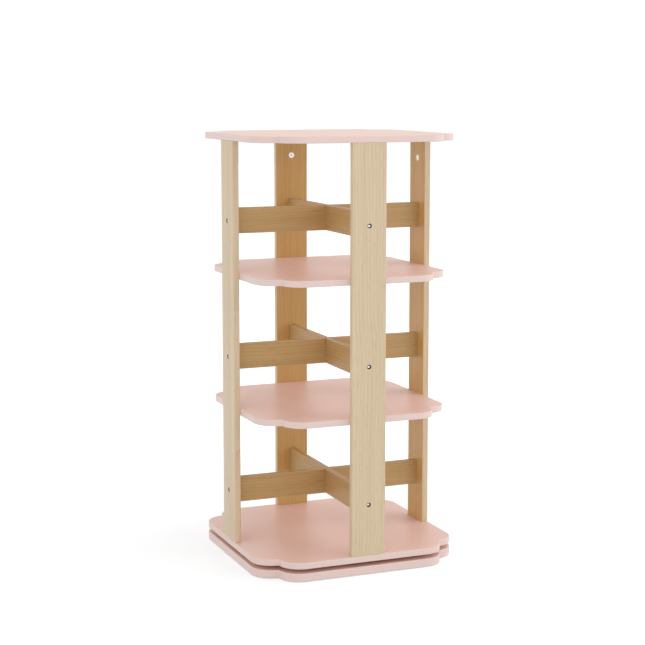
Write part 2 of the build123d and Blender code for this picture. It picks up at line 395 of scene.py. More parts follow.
@dataclass(frozen=True, kw_only=True)
class VarnishedTimber(Finish):
    """Planed timber under clear satin varnish: straight growth rings, silky fibre and short dark pores."""

    late: str
    pore: str
    rubbed: str
    # Painted shade: a warm stain on a post's inward face, for the shade and warm bounce light inside the
    # bookcase.
    inner_shade: str = "#FFEFBC"
    inner_shade_share: float = 0.0  # how strongly the face on the grain's lower second axis is stained warmer and darker, as painted shade and bounce light
    inner_shade_depths_mm: tuple[float, float] = (-4.6, -5.9)  # where it begins and is full, from the middle
    ring_mm: float = 6.5  # a real board has about 2 mm a ring, which the render is too small to show
    ring_wander: float = 1.6
    ring_wander_scale: float = 0.35
    pith: tuple[float, float, float] = (0.31, 0.06, 0.0)  # well off to one side, for straight lines
    lean: tuple[float, float, float] = (0.045, 0.045, 0.0)  # how far the rings drift over a board's length
    drift: Streak = Streak(110.0, 450.0, 1.0)
    fibre: Streak = Streak(1.3, 260.0, 3.0)
    band: Streak = Streak(16.0, 620.0, 2.0)
    pores: Streak = Streak(0.7, 22.0, 0.0)
    pore_depths: tuple[float, float, float] = (0.70, 0.80, 0.4)  # noise at its rim and floor, and strength
    clearness: float = 0.42
    late_share: float = 0.30
    fibre_share: float = 0.80
    band_share: float = 0.75
    roughness: float = 0.37
    dulling: float = 0.13
    relief_mm: float = 0.04
    relief_strength: float = 0.5
    placed_by: PlacedBy = PlacedBy.LOG

    def pattern(self, tree: bpy.types.NodeTree, place: bpy.types.NodeSocket) -> Pattern:
        """Build the timber up from its rings, fibre and pores, along the third axis of its place.

        Args:
            tree: The material's nodes.
            place: Each point's place in its log, or in the frame.

        Returns:
            The pattern.
        """
        streaks = []
        for streak, output in (
            (self.drift, "Color"),
            (self.fibre, "Fac"),
            (self.band, "Fac"),
            (self.pores, "Fac"),
        ):
            across, along = 1 / (streak.width_mm * MM), 1 / (streak.run_mm * MM)
            drawn = add_node(tree, "ShaderNodeMapping", {"Scale": (across, across, along)}, {"Vector": place})
            noise = {"Scale": 1.0, "Detail": streak.detail}
            streaks.append(add_node(tree, "ShaderNodeTexNoise", noise, {"Vector": drawn}, output))
        drift, fibre, band, pores = streaks
        lean = {"operation": "MULTIPLY_ADD", 1: self.lean}
        leaned = add_node(tree, "ShaderNodeVectorMath", lean, {0: drift, 2: place})
        centred = add_node(tree, "ShaderNodeMapping", {"Location": self.pith}, {"Vector": leaned})
        rings = add_node(
            tree,
            "ShaderNodeTexWave",
            {
                "wave_type": "RINGS",
                "rings_direction": "Z",
                "wave_profile": "SAW",
                "Scale": WAVE_SPACING / (self.ring_mm * MM),
                "Distortion": self.ring_wander,
                "Detail": BROKEN,
                "Detail Scale": self.ring_wander_scale,
            },
            {"Vector": centred},
            "Fac",
        )
        through = add_node(tree, "ShaderNodeSeparateXYZ", links={"Vector": place}, output="Y")
        inner_shade_start, inner_shade_full = (depth * MM for depth in self.inner_shade_depths_mm)
        pore_rim, pore_floor, pore_strength = self.pore_depths
        lightest = -self.clearness
        darkness, inner_shaded, pored, dulled = (
            add_node(tree, "ShaderNodeMapRange", spans, {"Value": value})
            for value, spans in (
                (rings, {"To Min": lightest, "To Max": lightest + self.late_share}),
                (
                    through,
                    {
                        "interpolation_type": "SMOOTHSTEP",
                        "From Min": inner_shade_start,
                        "From Max": inner_shade_full,
                        "To Max": self.inner_shade_share,
                    },
                ),
                (pores, {"From Min": pore_rim, "From Max": pore_floor, "To Max": pore_strength}),
                (fibre, {"From Min": NOISE_LOW, "From Max": NOISE_HIGH}),
            )
        )
        # Late wood, fibre and broad bands add up to how dark the timber is.
        for strands, share in ((fibre, self.fibre_share), (band, self.band_share)):
            darker = {"operation": "MULTIPLY_ADD", 1: share}
            darkness = add_node(tree, "ShaderNodeMath", darker, {0: strands, 2: darkness})
        arris = add_node(tree, "ShaderNodeAttribute", {"attribute_name": ARRIS}, output="Fac")
        worn = add_node(tree, "ShaderNodeMath", {"operation": "MULTIPLY"}, {0: arris, 1: fibre})
        height = add_node(tree, "ShaderNodeMath", {"operation": "SUBTRACT"}, {0: fibre, 1: pored})
        tints = (
            Tint(darkness, self.late),
            # Painted shade and bounce light: the stain on the face that looks at the axis.
            Tint(inner_shaded, self.inner_shade, Blend.STAIN),
            Tint(pored, self.pore),
            Tint(worn, self.rubbed),
        )
        return Pattern(tints, height, dulled)


@dataclass(frozen=True, kw_only=True)
class WorkedMetal(Finish):
    """Metal with a fine speckle from its plating or casting skin, duller where hands and tools have been."""

    tarnished: str
    dulling: float = 0.2
    relief_mm: float = 0.01
    metallic: float = 1.0
    speckle_mm: float = 0.5
    tarnish_mm: float = 4.0
    tarnish_from: float = 0.4  # the noise value where the tarnish begins
    tarnish_full: float = 0.75

    def pattern(self, tree: bpy.types.NodeTree, place: bpy.types.NodeSocket) -> Pattern:
        """Mottle the metal's colour and shine.

        Args:
            tree: The material's nodes.
            place: Each point's place in the frame.

        Returns:
            The pattern.
        """
        tarnish, speckle = (
            add_node(
                tree, "ShaderNodeTexNoise", {"Scale": 1 / (size * MM), "Detail": detail}, {"Vector": place}
            )
            for size, detail in ((self.tarnish_mm, RAGGED), (self.speckle_mm, BROKEN))
        )
        spread = {"From Min": self.tarnish_from, "From Max": self.tarnish_full}
        share = add_node(tree, "ShaderNodeMapRange", spread, {"Value": tarnish})
        return Pattern((Tint(share, self.tarnished),), height=speckle, dulled=share)


@dataclass(frozen=True, kw_only=True)
class TurnedMetal(Finish):
    """Metal turned on a lathe: fine rings round the axis that stretch its shine."""

    metallic: float = 1.0
    tool_mark_mm: float = 0.8  # a real cut is about 0.1 mm, which the render is too small to show
    wander: float = 0.6

    def pattern(self, tree: bpy.types.NodeTree, place: bpy.types.NodeSocket) -> Pattern:
        """Cut the lathe's rings round the turning axis.

        Args:
            tree: The material's nodes.
            place: Each point's place in the frame.

        Returns:
            The pattern.
        """
        marks = add_node(
            tree,
            "ShaderNodeTexWave",
            {
                "wave_type": "RINGS",
                "rings_direction": "Z",
                "Scale": WAVE_SPACING / (self.tool_mark_mm * MM),
                "Distortion": self.wander,
            },
            {"Vector": place},
            "Fac",
        )
        return Pattern((), height=marks, dulled=marks)


@dataclass(frozen=True, kw_only=True)
class MouldedPolymer(Finish):
    """Plastic or foam from a mould, with the mould's grain: its own colour in the pits and a tint between."""

    raised: str
    grain_mm: float

    def pattern(self, tree: bpy.types.NodeTree, place: bpy.types.NodeSocket) -> Pattern:
        """Press the mould's grain into the surface.

        Args:
            tree: The material's nodes.
            place: Each point's place in the frame.

        Returns:
            The pattern.
        """
        cells = {"Scale": 1 / (self.grain_mm * MM)}
        grain = add_node(tree, "ShaderNodeTexVoronoi", cells, {"Vector": place}, "Distance")
        return Pattern((Tint(grain, self.raised),), height=grain)


# Tinted lacquer, sprayed: an even pale pink with a soft sheen and paler rubbed arrises; the sawn edges are
# painted paler still, as painted light on the upright faces.
LACQUER = SprayedLacquer(
    name="sprayed satin lacquer on fibreboard",
    colour="#F3D1C7",
    clouded="#F1CEC3",
    lit_rim="#ECD5CF",
    rubbed="#F0DCD5",
    roughness=0.4,
    dulling=0.16,
    relief_mm=0.012,
    relief_strength=0.2,
    ior=1.46,
)
# Fibreboard cut by a drill: dull brown fluff, because the holes come after the lacquer.
DRILLED_BOARD = RawCut(name="drilled fibreboard", colour="#B99672", fibre="#96744F", fibre_mm=0.9)
# Softwood cut by a drill: torn end grain, darker than bare softwood, and darkened further as painted shade in
# the hole, so that it draws a dark ring round the screw's bright head.
SHADED_DRILLED_TIMBER = RawCut(name="drilled softwood", colour="#66452B", fibre="#49301E", fibre_mm=0.7)
# Softwood, planed and varnished: pale straight lines up the post; the side that looks at the axis is stained
# warmer and darker as painted shade and bounce light.
POST_TIMBER = VarnishedTimber(
    name="varnished softwood post",
    colour="#E4D2B7",
    late="#CFB691",
    pore="#B0926A",
    rubbed="#E0CCAC",
    inner_shade_share=1.0,
)
# The same softwood from nearer the heart: honey-coloured lines along the rail.
RAIL_TIMBER = VarnishedTimber(
    name="varnished softwood rail",
    colour="#CDB07C",
    late="#B39059",
    pore="#8F6C3F",
    rubbed="#DCC498",
    ring_mm=5.5,
)
# Beech, turned: a plain tan peg with fine lines along it.
DOWEL_TIMBER = VarnishedTimber(
    name="turned beech dowel",
    colour="#D8B98E",
    late="#C39E6E",
    pore="#8F6B43",
    rubbed="#E0CCAC",
    ring_mm=2.0,
    placed_by=PlacedBy.FRAME,
)
# Steel, plated with zinc: a white gleam with a few duller patches from the driver.
ZINC_PLATE = WorkedMetal(
    name="zinc-plated steel screw", colour="#F3F2EF", tarnished="#D9D7D1", roughness=0.14
)
# Zinc, die-cast and tumbled: pale, warm and softly shining, with no sharp glints.
CAST_ZINC = WorkedMetal(
    name="tumbled zinc die casting", colour="#FFFAEE", tarnished="#F0E9DB", roughness=0.28, relief_mm=0.03
)
# Bearing steel, ground and polished: close to a mirror.
BALL_STEEL = WorkedMetal(
    name="polished bearing steel", colour="#D5D5D8", tarnished="#C2C2C6", roughness=0.06, relief_mm=0.002
)
# Aluminium, turned: grey rings that draw each light out into a fan.
RING_ALUMINIUM = TurnedMetal(
    name="turned aluminium ring",
    colour="#CFCFD1",
    roughness=0.26,
    dulling=0.14,
    relief_mm=0.02,
    relief_strength=0.5,
)
# Nylon, injection-moulded: milky, with a low waxy shine.
CAGE_NYLON = MouldedPolymer(
    name="moulded natural nylon",
    colour="#CFCDC3",
    raised="#D9D8D0",
    grain_mm=0.6,
    roughness=0.5,
    relief_mm=0.03,
)
# Foam rubber, die-cut: black and quite dull, with open pores.
PAD_FOAM = MouldedPolymer(
    name="die-cut foam rubber pad",
    colour="#1E1C1B",
    raised="#34312F",
    grain_mm=0.9,
    roughness=0.92,
    relief_mm=0.15,
)


# Bench tools


def loose_mesh(shape: BMesh, name: str) -> bpy.types.Mesh:
    """Turn a shape under work into a mesh and free it.

    Args:
        shape: The shape, which is used up.
        name: Name of the mesh.

    Returns:
        The mesh.
    """
    mesh = bpy.data.meshes.new(name)
    shape.to_mesh(mesh)
    shape.free()
    return mesh


def in_scene(name: str, data: bpy.types.ID) -> bpy.types.Object:
    """Put a new object into the scene.

    Args:
        name: Name of the object.
        data: Its mesh, lamp or camera.

    Returns:
        The object.
    """
    item = bpy.data.objects.new(name, data)
    bpy.context.scene.collection.objects.link(item)
    return item


def turn_on_lathe(shape: BMesh, steps: int) -> None:
    """Turn an outline right round the Z axis and close it.

    Args:
        shape: Holds the outline, in the XZ plane, and becomes the solid.
        steps: Faces round the axis.
    """
    bmesh.ops.spin(
        shape,
        geom=shape.verts[:] + shape.edges[:],
        cent=(0, 0, 0),
        axis=(0, 0, 1),
        angle=math.tau,
        steps=steps,
        use_merge=True,
    )
    bmesh.ops.remove_doubles(shape, verts=shape.verts[:], dist=TOUCHING)
    bmesh.ops.recalc_face_normals(shape, faces=shape.faces[:])


def turned_solid(profile: Iterable[tuple[float, float]], steps: int) -> BMesh:
    """Turn a profile about the Z axis.

    Args:
        profile: Points (radius, height) from one end of the axis to the other, or round a closed loop.
        steps: Faces round the axis.

    Returns:
        The closed solid.
    """
    shape = bmesh.new()
    corners = [shape.verts.new((radius, 0.0, height)) for radius, height in profile]
    for pair in zip(corners, corners[1:]):
        shape.edges.new(pair)
    if corners[0].co.x > 0:
        shape.edges.new((corners[-1], corners[0]))
    turn_on_lathe(shape, steps)
    return shape


def round_bar(radius: float, low: float, high: float, steps: int) -> BMesh:
    """Make a plain round bar on the Z axis, such as what a drill takes out.

    Args:
        radius: Its radius.
        low: Height of its lower end.
        high: Height of its upper end.
        steps: Faces round the axis.

    Returns:
        The bar.
    """
    return turned_solid([(0.0, low), (radius, low), (radius, high), (0.0, high)], steps)


def block(size: Vector, centre: Vector, taper: float = 1.0) -> BMesh:
    """Make a rectangular block.

    Args:
        size: Its three sides.
        centre: Its middle.
        taper: How wide its lower end is for its upper end's width of 1.

    Returns:
        The block.
    """
    shape = bmesh.new()
    bmesh.ops.create_cube(shape, size=1.0)
    lower = [corner for corner in shape.verts if corner.co.z < 0]
    bmesh.ops.scale(shape, vec=(taper, taper, 1.0), verts=lower)
    bmesh.ops.scale(shape, vec=size, verts=shape.verts[:])
    bmesh.ops.translate(shape, vec=centre, verts=shape.verts[:])
    return shape


def gathered(shapes: Iterable[BMesh], places: Iterable[Matrix]) -> BMesh:
    """Put copies of shapes at places, in one shape.

    Args:
        shapes: Shapes to copy, which are used up.
        places: Where each shape goes.

    Returns:
        The shape with all the copies.
    """
    patterns = [loose_mesh(shape, "pattern") for shape in shapes]
    whole = bmesh.new()
    for place in places:
        for pattern in patterns:
            copy = pattern.copy()
            copy.transform(place)
            whole.from_mesh(copy)
            bpy.data.meshes.remove(copy)
    for pattern in patterns:
        bpy.data.meshes.remove(pattern)
    return whole


def round_off(shape: BMesh, sharp: list[BMEdge | BMVert], radius: float, segments: int) -> list[BMFace]:
    """Round some of a shape's edges, or some corners of its outline.

    Args:
        shape: Shape to work on.
        sharp: The edges or the corners.
        radius: How far the rounding reaches from them.
        segments: Faces or sides across the rounding.

    Returns:
        The faces of the rounding.
    """
    return bmesh.ops.bevel(
        shape,
        geom=sharp,
        offset=radius,
        offset_type="OFFSET",
        segments=segments,
        profile=0.5,
        affect="EDGES" if isinstance(sharp[0], BMEdge) else "VERTICES",
        clamp_overlap=True,
        material=-1,
    )["faces"]


def ease_edges(shape: BMesh, radius: float, segments: int = 3) -> None:
    """Round a shape's square edges over and mark the rounded faces as an arris.

    Args:
        shape: Shape to work on.
        radius: How far the rounding reaches from an edge.
        segments: Faces across the rounding.
    """
    square = [edge for edge in shape.edges if edge.is_manifold and edge.calc_face_angle() > SQUARE_FROM]
    arris = shape.faces.layers.float.new(ARRIS)
    for face in round_off(shape, square, radius, segments):
        face[arris] = 1.0


def middle_of(node: str) -> Vector:
    """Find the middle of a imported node's box."""
    low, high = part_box(node)
    return (low + high) / 2


def fitting_place(side: Side, facing: Facing, distance: float, height: float) -> Matrix:
    """Find the place of a fitting that sits in a face, on a side's middle line.

    Args:
        side: Which side.
        facing: The way the face looks.
        distance: Distance from the turning axis.
        height: Height above the floor.

    Returns:
        The place of its head's middle.
    """
    return side.turned @ Matrix.Translation((distance, 0, height)) @ facing.tipped


@dataclass
class Piece:
    """One piece of the dressed bookcase, from its shape, which is used up, to its place on a body."""

    name: str
    finishes: tuple[Finish, ...]
    shape: InitVar[BMesh]
    object: bpy.types.Object = field(init=False)

    def __post_init__(self, shape: BMesh) -> None:
        """Lay the piece on the bench, with its finishes' materials.

        Args:
            shape: The piece's shape.
        """
        mesh = loose_mesh(shape, self.name)
        for finish in self.finishes:
            mesh.materials.append(finish.material)
        self.object = in_scene(self.name, mesh)

    def cut_away(self, cutter: BMesh, bare: int = 0) -> None:
        """Cut a shape out of the piece.

        Args:
            cutter: What is cut away, which is used up.
            bare: Number of the piece's finish that shows inside the cut.
        """
        for face in cutter.faces:
            face.material_index = bare
        tool = in_scene("cutter", loose_mesh(cutter, "cutter"))
        cut = self.object.modifiers.new("cut", "BOOLEAN")
        cut.operation, cut.solver, cut.object = "DIFFERENCE", "EXACT", tool
        view = bpy.context.evaluated_depsgraph_get()
        uncut = self.object.data
        self.object.data = bpy.data.meshes.new_from_object(
            self.object.evaluated_get(view), preserve_all_data_layers=True, depsgraph=view
        )
        self.object.modifiers.clear()
        for mesh in (uncut, tool.data):
            bpy.data.meshes.remove(mesh)
        self.object.data.name = self.name

    def as_pattern(self) -> BMesh:
        """Take the piece off the bench, as a shape to be copied.

        Returns:
            Its shape.
        """
        shape = bmesh.new()
        shape.from_mesh(self.object.data)
        bpy.data.meshes.remove(self.object.data)
        return shape

    def lay_grain(self, middle: Vector, across: str, through: str, along: str, log_place: Vector) -> None:
        """Store each vertex's place in its log, which then moves with the piece.

        Args:
            middle: The board's middle.
            across: The axis across the board's wide face.
            through: The axis through its thickness.
            along: The axis along its length.
            log_place: Where in the log the board's middle was.
        """
        mesh = self.object.data
        numbers = []
        for corner in mesh.vertices:
            offset = corner.co - middle
            in_log = Vector([getattr(offset, axis) for axis in (across, through, along)]) + log_place
            numbers.extend(in_log)
        grain = mesh.attributes.new(GRAIN, "FLOAT_VECTOR", "POINT")
        grain.data.foreach_set("vector", numbers)

    def fit(
        self, body: Body, node: str, side: Side = Side.RIGHT, smooth_deg: float = 32.0
    ) -> None:
        """Put the finished piece on its body, in the stead of its node.

        Args:
            body: The body that it rides on.
            node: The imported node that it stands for.
            side: Where it goes, if it was made at the right-hand side.
            smooth_deg: Faces that meet more flatly than this shade as one.
        """
        mesh = self.object.data
        mesh.transform(side.turned)
        mesh.shade_smooth()
        mesh.set_sharp_from_angle(angle=math.radians(smooth_deg))
        normals = self.object.modifiers.new("flat faces", "WEIGHTED_NORMAL")
        normals.mode, normals.keep_sharp = "FACE_AREA", True
        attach(self.object, body.value)
        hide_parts(node)
        log.info("%s: %d faces, for %s", self.name, len(mesh.polygons), node)


# Fasteners


@dataclass(frozen=True)
class CrossRecess:
    """A driver's cross, tapered towards its floor."""

    arm: float
    width: float
    depth: float
    taper: float

    def press_into(self, blank: Piece, level: float) -> None:
        """Press the cross into a blank.

        Args:
            blank: Fastener on the Z axis.
            level: Height of its face.
        """
        for length, width in ((self.arm, self.width), (self.width, self.arm)):
            blank.cut_away(block(Vector((length, width, 2 * self.depth)), Vector((0, 0, level)), self.taper))


@dataclass
class RecessedScrew:
    """Countersunk screw with a raised head and a cross recess, its seat's rim on Z = 0 and its point down."""

    length: float
    head_radius: float = 3.2 * MM
    head_edge: float = 0.2 * MM
    shank_radius: float = 1.9 * MM
    sunk: float = 0.6 * MM
    dome: float = 1.5 * MM
    dome_power: float = 2.6  # the head is nearly flat in the middle and steep at its rim
    dome_shares: tuple[float, ...] = (0.0, 0.4, 0.7, 0.9, 1.0)
    plain_run: float = 3.0 * MM
    thread_pitch: float = 1.8 * MM
    thread_depth: float = 0.35 * MM
    recess: CrossRecess = CrossRecess(arm=3.0 * MM, width=0.6 * MM, depth=1.2 * MM, taper=0.45)
    drill_reach: float = 20.0 * MM
    steps: int = 32

    def profile(self) -> list[tuple[float, float]]:
        """Draw half of the screw from the head's middle to the point.

        Returns:
            Points (radius, height).
        """
        points = [
            (share * self.head_radius, -self.sunk - self.dome * share**self.dome_power)
            for share in self.dome_shares
        ]
        under_head = points[-1][1] - self.head_edge
        neck = under_head - (self.head_radius - self.shank_radius)
        points += [(self.head_radius, under_head), (self.shank_radius, neck)]
        height = neck - self.plain_run
        while height > self.plain_run - self.length:
            points.append((self.shank_radius - self.thread_depth, height))
            points.append((self.shank_radius, height - self.thread_pitch / 2))
            height -= self.thread_pitch
        points.append((0.0, -self.length))
        return points

    def shape(self) -> BMesh:
        """Turn the screw and press its recess.

        Returns:
            The screw.
        """
        blank = Piece("screw", (ZINC_PLATE,), turned_solid(self.profile(), self.steps))
        self.recess.press_into(blank, -self.sunk)
        return blank.as_pattern()

    def hole(self, room: float, bore: float) -> BMesh:
        """Shape what a countersink cuts for this screw.

        Args:
            room: Gap round the head.
            bore: Depth of the straight wall above the cone.

        Returns:
            The cutter, which stands out of the face.
        """
        mouth = self.head_radius + room
        cone = bore + mouth - self.shank_radius
        points = [
            (0.0, OVERRUN),
            (mouth, OVERRUN),
            (mouth, -bore),
            (self.shank_radius, -cone),
            (self.shank_radius, -self.drill_reach),
            (0.0, -self.drill_reach),
        ]
        return turned_solid(points, self.steps)


@dataclass
class CamLock:
    """Round cam with a raised rim, a cross recess and an arrow, its face on Z = 0 and its claw towards +Y."""

    radius: float = 6.0 * MM
    depth: float = 9.6 * MM
    rim_width: float = 1.1 * MM
    rim_height: float = 0.6 * MM
    rim_slope: float = 0.15 * MM
    edge: float = 0.2 * MM
    recess: CrossRecess = CrossRecess(arm=5.6 * MM, width=1.8 * MM, depth=3.4 * MM, taper=0.5)
    arrow: float = 0.78 * MM
    arrow_top: float = 0.585 * MM
    arrow_height: float = 0.3 * MM
    arrow_room: float = 0.5226 * MM
    claw_top: float = 2.7 * MM
    claw_size: tuple[float, float] = (6.6 * MM, 3.6 * MM)
    neck_width: float = 4.0 * MM
    pocket_room: float = 0.15 * MM
    steps: int = 40

    def cast(self) -> BMesh:
        """Cast the cam: its rimmed face, its cross recess and its claw.

        Returns:
            The cam.
        """
        well = self.radius - self.rim_width
        points = [
            (0.0, -self.rim_height),
            (well - self.edge, -self.rim_height),
            (well, -self.rim_slope),
            (well + self.rim_slope, 0.0),
            (self.radius - self.edge, 0.0),
            (self.radius, -self.edge),
            (self.radius, -self.depth),
            (0.0, -self.depth),
        ]
        blank = Piece("cam", (CAST_ZINC,), turned_solid(points, self.steps))
        self.recess.press_into(blank, -self.rim_height)
        inside = self.depth - self.claw_top
        middle = -self.claw_top - inside / 2
        blank.cut_away(block(Vector((*self.claw_size, inside)), Vector((0, 0, middle))))
        neck = Vector((self.neck_width, 2 * self.radius, inside + OVERRUN))
        blank.cut_away(block(neck, Vector((0, self.radius, middle - OVERRUN / 2))))
        return blank.as_pattern()

    def cast_arrow(self) -> BMesh:
        """Cast the small raised arrow that shows where the cam's claw opens.

        Returns:
            The arrow, in its place on the cam.
        """
        shape = bmesh.new()
        bmesh.ops.create_cone(
            shape,
            cap_ends=True,
            segments=3,
            radius1=self.arrow,
            radius2=self.arrow_top,
            depth=self.arrow_height,
        )
        point_out = Matrix.Rotation(math.pi / 6, 4, "Z")
        reach = self.radius - self.rim_width - self.arrow - self.arrow_room
        place = Matrix.Translation((0, reach, -self.rim_height)) @ point_out
        bmesh.ops.transform(shape, matrix=place, verts=shape.verts[:])
        return shape

    def pocket(self) -> BMesh:
        """Shape what a drill cuts for this cam, standing out of the face."""
        return round_bar(self.radius + self.pocket_room, -self.depth - self.pocket_room, OVERRUN, self.steps)

    def places_under(self, shelf: str) -> list[Matrix]:
        """Find the places of the four cams in a packed shelf's underside, one towards each side."""
        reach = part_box("shelf_cam_locks")[1].x - self.radius
        return [fitting_place(side, Facing.DOWN, reach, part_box(shelf)[0].z) for side in Side]


# Sub-assemblies


@dataclass
class Turntable:
    """The ring bearing between the two lowest boards."""

    screw: RecessedScrew
    screw_room: float = 0.2 * MM
    screw_bore: float = 0.3 * MM
    race_radius: float = 80.0 * MM
    race_gap: float = 1.6 * MM
    ring_width: float = 19.2 * MM
    ring_edge: float = 0.5 * MM
    groove_depth: float = 1.5 * MM
    groove_height: float = 4.4 * MM
    groove_round: float = 1.35 * MM
    groove_steps: int = 6
    edge_steps: int = 2
    ball_radius: float = 2.0 * MM
    ball_subdivisions: int = 3
    ball_smooth_deg: float = 60.0
    ball_count: int = 12
    cage_thick: float = 1.0 * MM
    cage_window: float = 4.6 * MM
    steps: int = 120

    def radii(self, ring: Ring) -> tuple[float, float, float]:
        """Work out a ring's radii.

        Args:
            ring: Which ring.

        Returns:
            Radii of the wall at the balls, of the groove's floor in it, and of the wall away from the balls.
        """
        wall = self.race_radius + ring.value * self.race_gap / 2
        return wall, wall + ring.value * self.groove_depth, wall + ring.value * self.ring_width

    def screw_reach(self, ring: Ring) -> float:
        """Work out how far a ring's screws stand from the turning axis."""
        _, floor, far = self.radii(ring)
        return (floor + far) / 2

    def turned_ring(self, ring: Ring, low: float, high: float) -> BMesh:
        """Turn a grooved ring.

        Args:
            ring: Which ring.
            low: Height of its underside.
            high: Height of its upper side.

        Returns:
            The ring.
        """
        wall, floor, far = self.radii(ring)
        level, half = middle_of("bearing_balls").z, self.groove_height / 2
        shape = bmesh.new()
        corners = [
            shape.verts.new((radius, 0, height))
            for radius, height in (
                (far, low),
                (wall, low),
                (wall, level - half),
                (floor, level - half),
                (floor, level + half),
                (wall, level + half),
                (wall, high),
                (far, high),
            )
        ]
        shape.faces.new(corners)
        in_groove, at_rims = corners[3:5], corners[:2] + corners[6:]
        round_off(shape, in_groove, self.groove_round, self.groove_steps)
        round_off(shape, at_rims, self.ring_edge, self.edge_steps)
        bmesh.ops.delete(shape, geom=shape.faces[:], context="FACES_ONLY")
        turn_on_lathe(shape, self.steps)
        return shape

    def build_ring(self, ring: Ring, body: Body, facing: Facing) -> None:
        """Make and dress a ring and its screws.

        Args:
            ring: Which ring.
            body: The body that it rides on.
            facing: The way its screws' heads look.
        """
        name, screws = f"turntable_{ring.name.lower()}_ring", f"{ring.name.lower()}_ring_screws"
        low, high = (corner.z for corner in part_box(name))
        face = high if facing is Facing.UP else low
        places = [fitting_place(side, facing, self.screw_reach(ring), face) for side in Side]
        piece = Piece(f"{name}_turned", (RING_ALUMINIUM,), self.turned_ring(ring, low, high))
        piece.cut_away(gathered([self.screw.hole(self.screw_room, self.screw_bore)], places))
        piece.fit(body, name)
        fixings = Piece(f"{screws}_cross_recessed", (ZINC_PLATE,), gathered([self.screw.shape()], places))
        fixings.fit(body, screws)

    def build(self) -> None:
        """Make and dress the bearing."""
        self.build_ring(Ring.OUTER, Body.STAND, Facing.UP)
        self.build_ring(Ring.INNER, Body.CARCASS, Facing.DOWN)
        places = [
            Matrix.Rotation(math.tau * number / self.ball_count, 4, "Z")
            @ Matrix.Translation((self.race_radius, 0, middle_of("bearing_balls").z))
            for number in range(self.ball_count)
        ]
        ball = bmesh.new()
        bmesh.ops.create_icosphere(ball, subdivisions=self.ball_subdivisions, radius=self.ball_radius)
        balls = Piece("bearing_balls_polished", (BALL_STEEL,), gathered([ball], places))
        balls.fit(Body.BALL_SET, "bearing_balls", smooth_deg=self.ball_smooth_deg)

        low, high = (corner.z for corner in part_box("ball_cage"))
        inner, outer = (self.race_radius + share * self.cage_thick for share in (-0.5, 0.5))
        band = turned_solid([(inner, low), (outer, low), (outer, high), (inner, high)], self.steps)
        cage = Piece("ball_cage_moulded", (CAGE_NYLON,), band)
        window = block(Vector((THROUGH * self.cage_thick, self.cage_window, self.cage_window)), Vector())
        cage.cut_away(gathered([window], places))
        cage.fit(Body.BALL_SET, "ball_cage")


@dataclass
class Boards:
    """The five lacquered boards, all of one outline: straight sides, and two rounds and a notch a corner."""

    cam: CamLock
    access_hole_reach: float
    access_hole_radius: float = 7.0 * MM
    corner_round: float = 40.0 * MM
    cutter_radius: float = 5.0 * MM  # of the router's bit, which can't cut the notch any sharper
    arris_radius: float = 1.3 * MM
    steepest_level: float = 0.5  # a face is part of the rim if its normal rises less than this
    round_steps: int = 26
    hollow_steps: int = 8
    drill_steps: int = 32

    def corner(self, shape: BMesh, edge: float, level: float) -> None:
        """Draw the line of one corner: a round, the small hollow that the router's bit leaves, and a round.

        Args:
            shape: Shape that takes the line.
            edge: Distance from the axis to the board's straight sides.
            level: Height of the line.
        """
        inner = edge - self.corner_round
        straight = inner - self.corner_round
        first, second = Vector((inner, straight, level)), Vector((straight, inner, level))
        # The bit stands on the corner's diagonal and touches both rounds.
        reach = self.corner_round + self.cutter_radius
        along = (inner + straight) / 2 + math.sqrt(reach**2 / 2 - self.corner_round**2 / 4)
        bit = Vector((along, along, level))
        sweep = math.atan2(bit.y - first.y, bit.x - first.x)
        tip = shape.verts.new((edge, straight, level))
        for centre, turn, steps in (
            (first, sweep, self.round_steps),
            (bit, math.pi / 2 - 2 * sweep, self.hollow_steps),
            (second, sweep, self.round_steps),
        ):
            spun = bmesh.ops.spin(
                shape, geom=[tip], cent=centre, axis=(0, 0, 1), angle=turn, steps=steps, use_merge=False
            )
            tip = next(item for item in spun["geom_last"] if isinstance(item, BMVert))

    def plate(self, low: Vector, high: Vector) -> BMesh:
        """Shape a board.

        Args:
            low: Lowest corner of its box.
            high: Highest corner of its box.

        Returns:
            The board, with its edges eased.
        """
        shape = bmesh.new()
        self.corner(shape, high.x, low.z)
        quarter = shape.verts[:] + shape.edges[:]
        for side in (Side.BACK, Side.LEFT, Side.FRONT):
            copied = bmesh.ops.duplicate(shape, geom=quarter)["geom"]
            corners = [item for item in copied if isinstance(item, BMVert)]
            bmesh.ops.transform(shape, matrix=side.turned, verts=corners)
        outline = sorted(shape.verts, key=lambda corner: math.atan2(corner.co.y, corner.co.x))
        underside = shape.faces.new(outline)
        raised = bmesh.ops.extrude_face_region(shape, geom=[underside])["geom"]
        corners = [item for item in raised if isinstance(item, BMVert)]
        bmesh.ops.translate(shape, vec=(0, 0, high.z - low.z), verts=corners)
        bmesh.ops.recalc_face_normals(shape, faces=shape.faces[:])
        # Mark the upright faces, which the lacquer paints paler as painted light.
        lit_rim = shape.faces.layers.float.new(LIT_RIM)
        for face in shape.faces:
            face[lit_rim] = float(abs(face.normal.z) < self.steepest_level)
        ease_edges(shape, self.arris_radius)
        return shape

    def build(self) -> None:
        """Make and dress the five boards."""
        for node in ("base_board", "bottom_board", "shelf_lower", "shelf_upper", "top_board"):
            low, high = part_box(node)
            board = Piece(f"{node}_lacquered", (LACQUER, DRILLED_BOARD), self.plate(low, high))
            body = Body.CARCASS
            if node == "base_board":
                body = Body.STAND
                hole = round_bar(self.access_hole_radius, -OVERRUN, high.z + OVERRUN, self.drill_steps)
                bmesh.ops.translate(hole, vec=(self.access_hole_reach, 0, 0), verts=hole.verts[:])
                board.cut_away(hole, bare=1)
            elif node.startswith("shelf"):
                board.cut_away(gathered([self.cam.pocket()], self.cam.places_under(node)), bare=1)
            board.fit(body, node)


